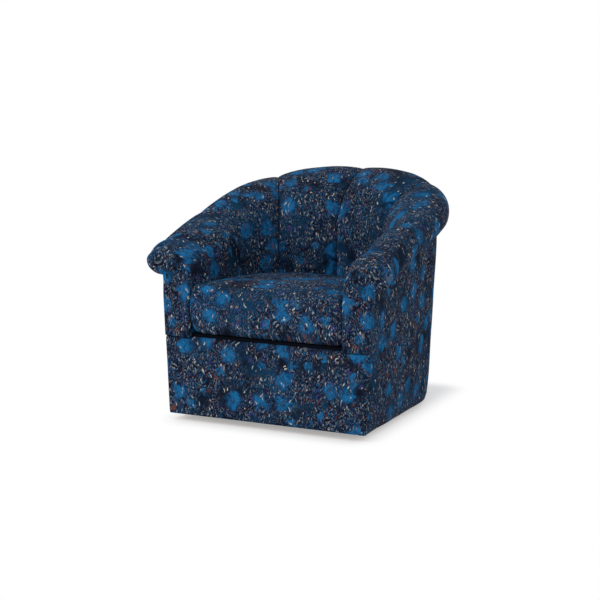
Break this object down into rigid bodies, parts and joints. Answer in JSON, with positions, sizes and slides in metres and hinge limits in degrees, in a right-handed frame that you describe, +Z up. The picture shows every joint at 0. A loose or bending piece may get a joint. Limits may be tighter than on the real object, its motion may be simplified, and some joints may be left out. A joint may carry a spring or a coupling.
{
  "type": "swivel tub chair",
  "caption": "Fully upholstered tub chair with a channelled rolled back running into the arms and a loose seat cushion, turning on a hidden ball bearing swivel over a floor ring.",
  "frame": {"origin": "on the floor, on the swivel axis, which is under the middle of the chair's plan", "axes": "+Z up, the sitter faces -Y, +X to the right of someone who looks at the front"},
  "size_m": [0.8924, 0.8588, 0.8075],
  "materials": {
    "upholstery_fabric": "woven, matt",
    "beech_frame": "planed, unfinished",
    "polyurethane_foam": "open cell",
    "deck_cloth": "woven, matt",
    "cambric": "non-woven, matt",
    "spring_steel": "oiled wire",
    "galvanised_steel": "galvanised",
    "zinc_plated_steel": "zinc plated",
    "bearing_steel": "polished",
    "black_enamelled_steel": "enamelled",
    "nylon": "moulded"
  },
  "bodies": {
    "floor_base": {"floor_ring": "black_enamelled_steel", "base_arms": "black_enamelled_steel", "floor_glides": "nylon", "lower_plate": "galvanised_steel", "swivel_pivot": "zinc_plated_steel", "base_bolts": "zinc_plated_steel", "base_nuts": "zinc_plated_steel"},
    "bearing": {"ball_cage": "galvanised_steel", "bearing_balls": "bearing_steel"},
    "chair": {"front_border": "upholstery_fabric", "arm_front_right": "upholstery_fabric", "arm_front_left": "upholstery_fabric", "outside_arm_right": "upholstery_fabric", "outside_arm_left": "upholstery_fabric", "outside_back": "upholstery_fabric", "channel_right_1": "upholstery_fabric", "channel_right_2": "upholstery_fabric", "channel_right_3": "upholstery_fabric", "channel_right_4": "upholstery_fabric", "channel_left_1": "upholstery_fabric", "channel_left_2": "upholstery_fabric", "channel_left_3": "upholstery_fabric", "channel_left_4": "upholstery_fabric", "side_base_rail_right": "beech_frame", "side_base_rail_left": "beech_frame", "back_base_rail": "beech_frame", "front_base_rail": "beech_frame", "arm_post_right": "beech_frame", "arm_post_left": "beech_frame", "arm_stump_right": "beech_frame", "arm_stump_left": "beech_frame", "front_seat_rail": "beech_frame", "side_seat_rail_right": "beech_frame", "side_seat_rail_left": "beech_frame", "back_seat_rail": "beech_frame", "arm_top_rail_right": "beech_frame", "arm_top_rail_left": "beech_frame", "back_top_rail": "beech_frame", "back_upright_right": "beech_frame", "back_upright_centre": "beech_frame", "back_upright_left": "beech_frame", "corner_blocks": "beech_frame", "swivel_member_front": "beech_frame", "swivel_member_rear": "beech_frame", "seat_deck": "deck_cloth", "dust_cover": "cambric", "seat_springs": "spring_steel", "spring_clips": "galvanised_steel", "upper_plate": "galvanised_steel", "swivel_bolts": "zinc_plated_steel", "tee_nuts": "zinc_plated_steel"},
    "seat_cushion": {"seat_cushion_cover": "upholstery_fabric", "seat_cushion_core": "polyurethane_foam"}
  },
  "joints": [
    {"name": "seat_swivel", "type": "hinge", "parent": "floor_base", "child": "chair", "pos_m": [0, 0, 0.0315], "axis": [0, 0, 1], "continuous": true},
    {"name": "cage_turn", "type": "hinge", "parent": "floor_base", "child": "bearing", "pos_m": [0, 0, 0.0315], "axis": [0, 0, 1], "continuous": true},
    {"name": "cushion_lift", "type": "slide", "parent": "chair", "child": "seat_cushion", "axis": [0, 0, 1], "range_m": [0, 0.25]}
  ],
  "couplings": [
    {"joint": "cage_turn", "follows": "seat_swivel", "ratio": 0.5}
  ]
}
